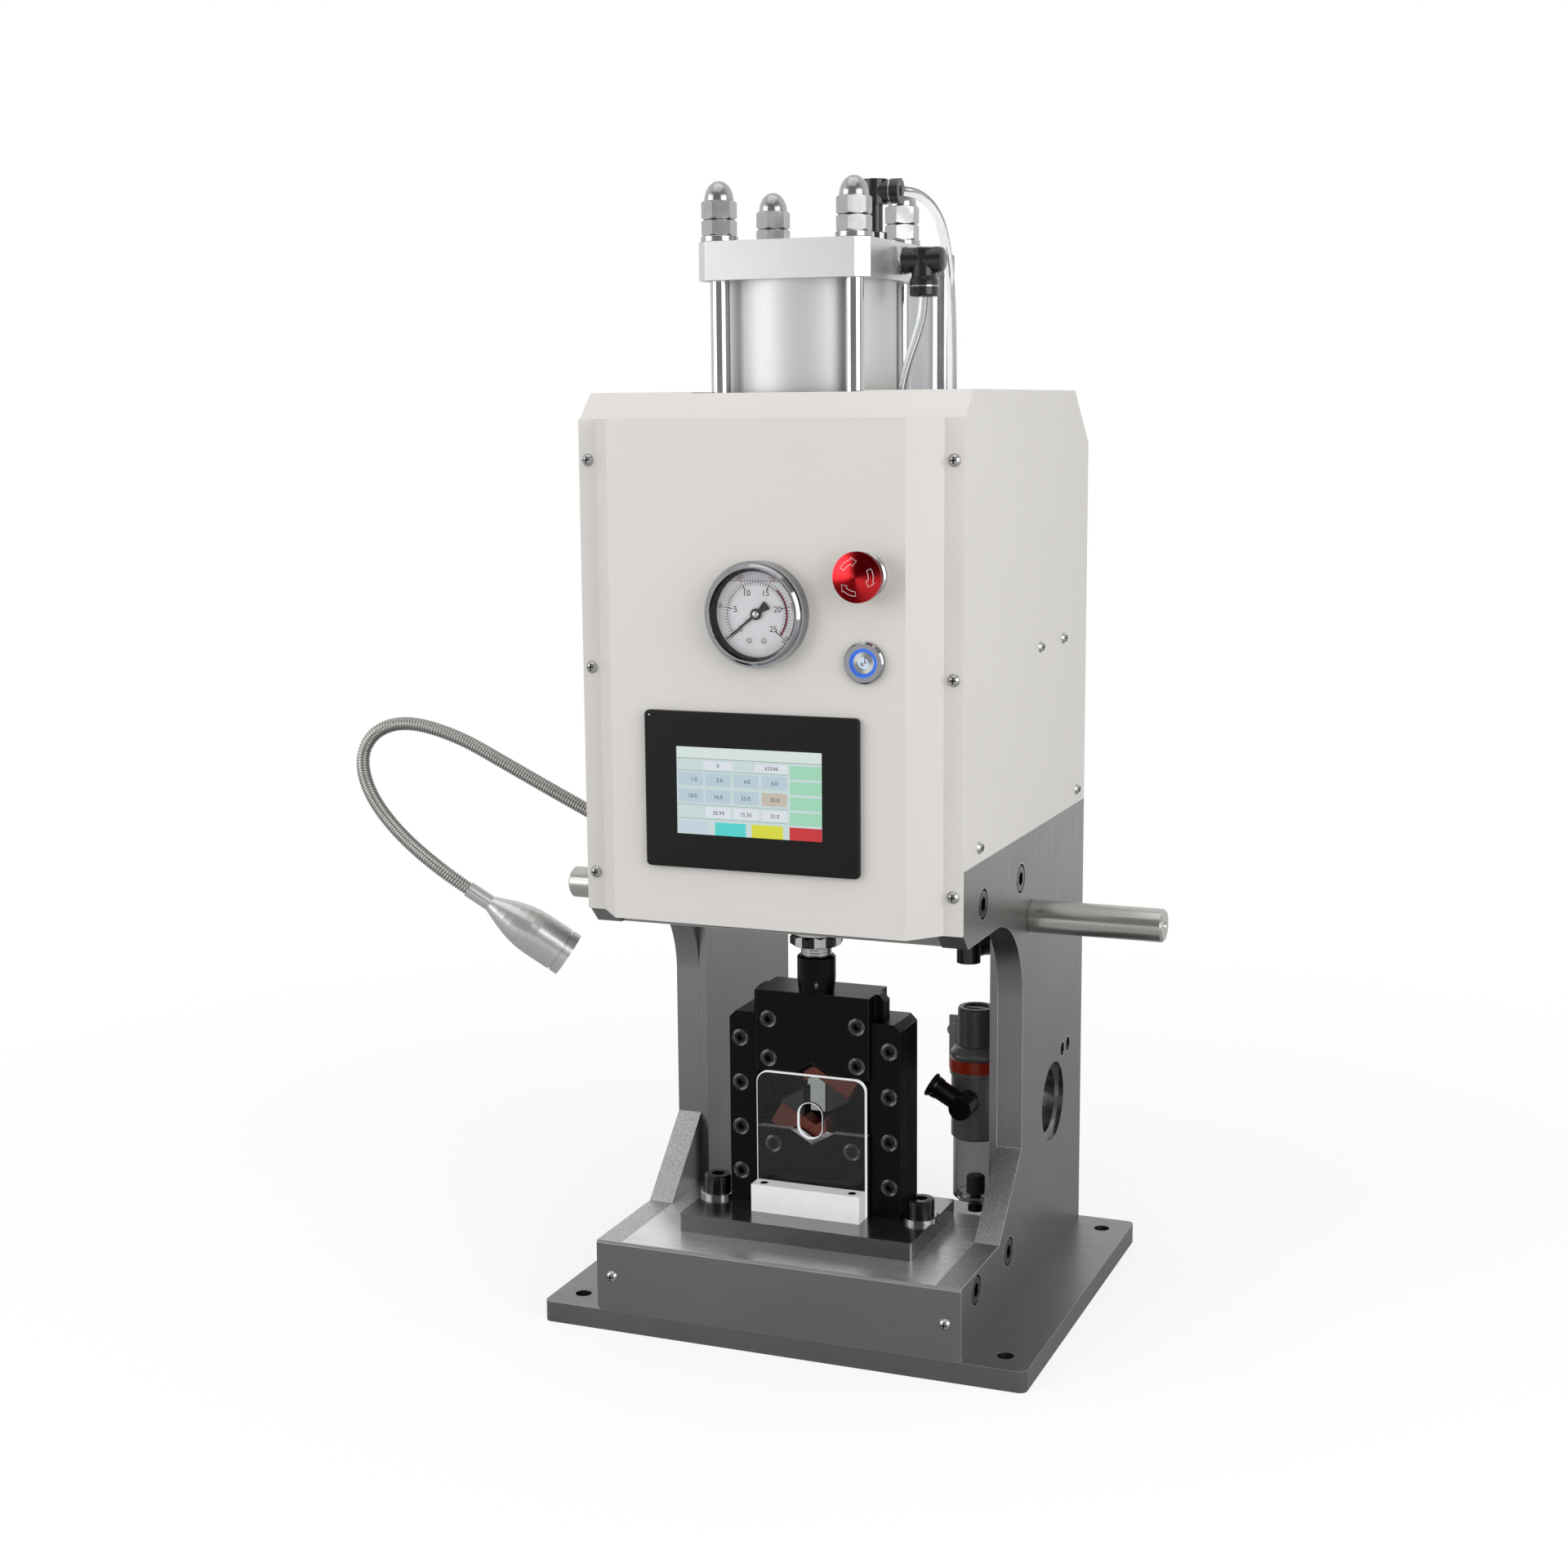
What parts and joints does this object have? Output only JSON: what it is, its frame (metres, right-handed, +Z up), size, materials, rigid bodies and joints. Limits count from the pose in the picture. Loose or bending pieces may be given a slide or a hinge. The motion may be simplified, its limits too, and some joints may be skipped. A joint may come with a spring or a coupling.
{
  "type": "terminal crimping machine",
  "caption": "Bench crimping machine with an arched steel frame, hydraulic ram, sliding hexagon jaws, control panel, gauge and work lamp.",
  "frame": {"origin": "centre of the base plate bolt pattern, on the underside", "axes": "+X to the right seen from the front, +Y to the back, +Z up"},
  "size_m": [0.5218, 0.328, 0.7386],
  "materials": {
    "machined_steel": "ground and brushed steel",
    "turned_steel": "turned steel",
    "black_screws": "black oxide steel",
    "bright_screws": "nickel plated steel",
    "cover_paint": "fine texture powder coat",
    "gauge_chrome": "polished",
    "needle_black": "matt black",
    "button_silver": "anodised",
    "stop_red": "red anodised",
    "button_cap": "lit cap",
    "terminal_black": "fine matt",
    "screen_glass": "lit display",
    "cylinder_aluminium": "anodised",
    "rod_chrome": "hard chrome",
    "fitting_black": "moulded",
    "hose_clear": "clear hose",
    "tank_grey": "smooth paint",
    "breather_steel": "plated steel",
    "black_oxide": "black oxide steel",
    "jaw_red": "hard coated steel",
    "guard_clear": "clear acrylic",
    "clamp_aluminium": "brushed",
    "bracket_grey": "grey paint",
    "regulator_grey": "moulded",
    "bowl_clear": "clear bowl",
    "knob_grey": "fluted",
    "lamp_neck_steel": "spiral steel",
    "lamp_aluminium": "turned and anodised"
  },
  "bodies": {
    "frame": {"base_plate": "machined_steel", "bed_block": "machined_steel", "foot_front_cover": "machined_steel", "left_side_plate": "machined_steel", "right_side_plate": "machined_steel", "left_inner_post": "machined_steel", "right_inner_post": "machined_steel", "head_block": "machined_steel", "support_bars": "turned_steel", "socket_screws": "black_screws", "die_screws": "black_screws", "panel_screws": "bright_screws", "tie_rod_nuts": "bright_screws", "cover_shell": "cover_paint", "front_panel": "cover_paint", "gauge_case": "gauge_chrome", "power_button_body": "gauge_chrome", "stop_collar": "button_silver", "terminal_case": "terminal_black", "terminal_screen": "screen_glass", "cylinder_base_cap": "cylinder_aluminium", "cylinder_barrel": "cylinder_aluminium", "cylinder_top_plate": "cylinder_aluminium", "tie_rods": "rod_chrome", "side_elbow": "fitting_black", "top_elbow": "fitting_black", "regulator_elbow": "fitting_black", "head_elbow": "fitting_black", "side_hose": "hose_clear", "top_hose": "hose_clear", "oil_tank": "tank_grey", "breather_plug": "breather_steel", "die_base_plate": "black_oxide", "die_column_left": "black_oxide", "die_column_right": "black_oxide", "gib_plates": "black_oxide", "lower_die_block": "black_oxide", "jaw_bottom_left": "jaw_red", "guard_sheet": "guard_clear", "guard_clamp": "clamp_aluminium", "regulator_bracket": "bracket_grey", "regulator_body": "regulator_grey", "regulator_bowl": "bowl_clear", "lamp_neck": "lamp_neck_steel", "lamp_head": "lamp_aluminium"},
    "ram": {"ram_rod": "rod_chrome", "ram_coupling": "black_oxide", "slider_block": "black_oxide", "slider_screws": "black_screws", "jaw_top_right": "jaw_red"},
    "jaw_bottom_right": {"jaw_bottom_right": "jaw_red"},
    "jaw_left": {"jaw_left": "jaw_red"},
    "jaw_right": {"jaw_right": "jaw_red"},
    "jaw_top_left": {"jaw_top_left": "jaw_red"},
    "needle": {"gauge_needle": "needle_black"},
    "stop_stem": {"stop_stem": "button_silver"},
    "stop_head": {"stop_head": "stop_red"},
    "power_cap": {"power_button_cap": "button_cap"},
    "knob": {"regulator_knob": "knob_grey"},
    "drain": {"drain_valve": "fitting_black"}
  },
  "joints": [
    {"name": "ram_slide", "type": "slide", "parent": "frame", "child": "ram", "axis": [0, 0, -1], "range_m": [0, 0.0315]},
    {"name": "jaw_bottom_right_slide", "type": "slide", "parent": "frame", "child": "jaw_bottom_right", "axis": [-0.866, 0, -0.5], "range_m": [0, 0.00809]},
    {"name": "jaw_left_slide", "type": "slide", "parent": "frame", "child": "jaw_left", "axis": [0.866, 0, -0.5], "range_m": [0, 0.00809]},
    {"name": "jaw_top_left_slide", "type": "slide", "parent": "ram", "child": "jaw_top_left", "axis": [0.866, 0, 0.5], "range_m": [0, 0.00809]},
    {"name": "jaw_right_slide", "type": "slide", "parent": "ram", "child": "jaw_right", "axis": [-0.866, 0, 0.5], "range_m": [0, 0.00809]},
    {"name": "gauge_pointer", "type": "hinge", "parent": "frame", "child": "needle", "pos_m": [0.0036, -0.1713, 0.4785], "axis": [0, 1, 0], "range_deg": [0, 262], "stiffness_Nm_per_rad": 0.002},
    {"name": "stop_push", "type": "slide", "parent": "frame", "child": "stop_stem", "axis": [0, 1, 0], "range_m": [0, 0.005]},
    {"name": "stop_twist", "type": "hinge", "parent": "stop_stem", "child": "stop_head", "pos_m": [0.0714, -0.178, 0.5025], "axis": [0, 1, 0], "range_deg": [0, 30], "stiffness_Nm_per_rad": 0.05},
    {"name": "power_push", "type": "slide", "parent": "frame", "child": "power_cap", "axis": [0, 1, 0], "range_m": [0, 0.0025], "stiffness_N_per_m": 400},
    {"name": "regulator_turn", "type": "hinge", "parent": "frame", "child": "knob", "pos_m": [0.0695, 0.0655, 0.17], "axis": [0, 0, 1], "range_deg": [-540, 540]},
    {"name": "drain_push", "type": "slide", "parent": "frame", "child": "drain", "axis": [0, 0, 1], "range_m": [0, 0.003], "stiffness_N_per_m": 300}
  ],
  "couplings": [
    {"joint": "jaw_bottom_right_slide", "follows": "ram_slide", "ratio": 0.2566},
    {"joint": "jaw_left_slide", "follows": "ram_slide", "ratio": 0.2566},
    {"joint": "jaw_top_left_slide", "follows": "ram_slide", "ratio": 0.2566},
    {"joint": "jaw_right_slide", "follows": "ram_slide", "ratio": 0.2566}
  ]
}
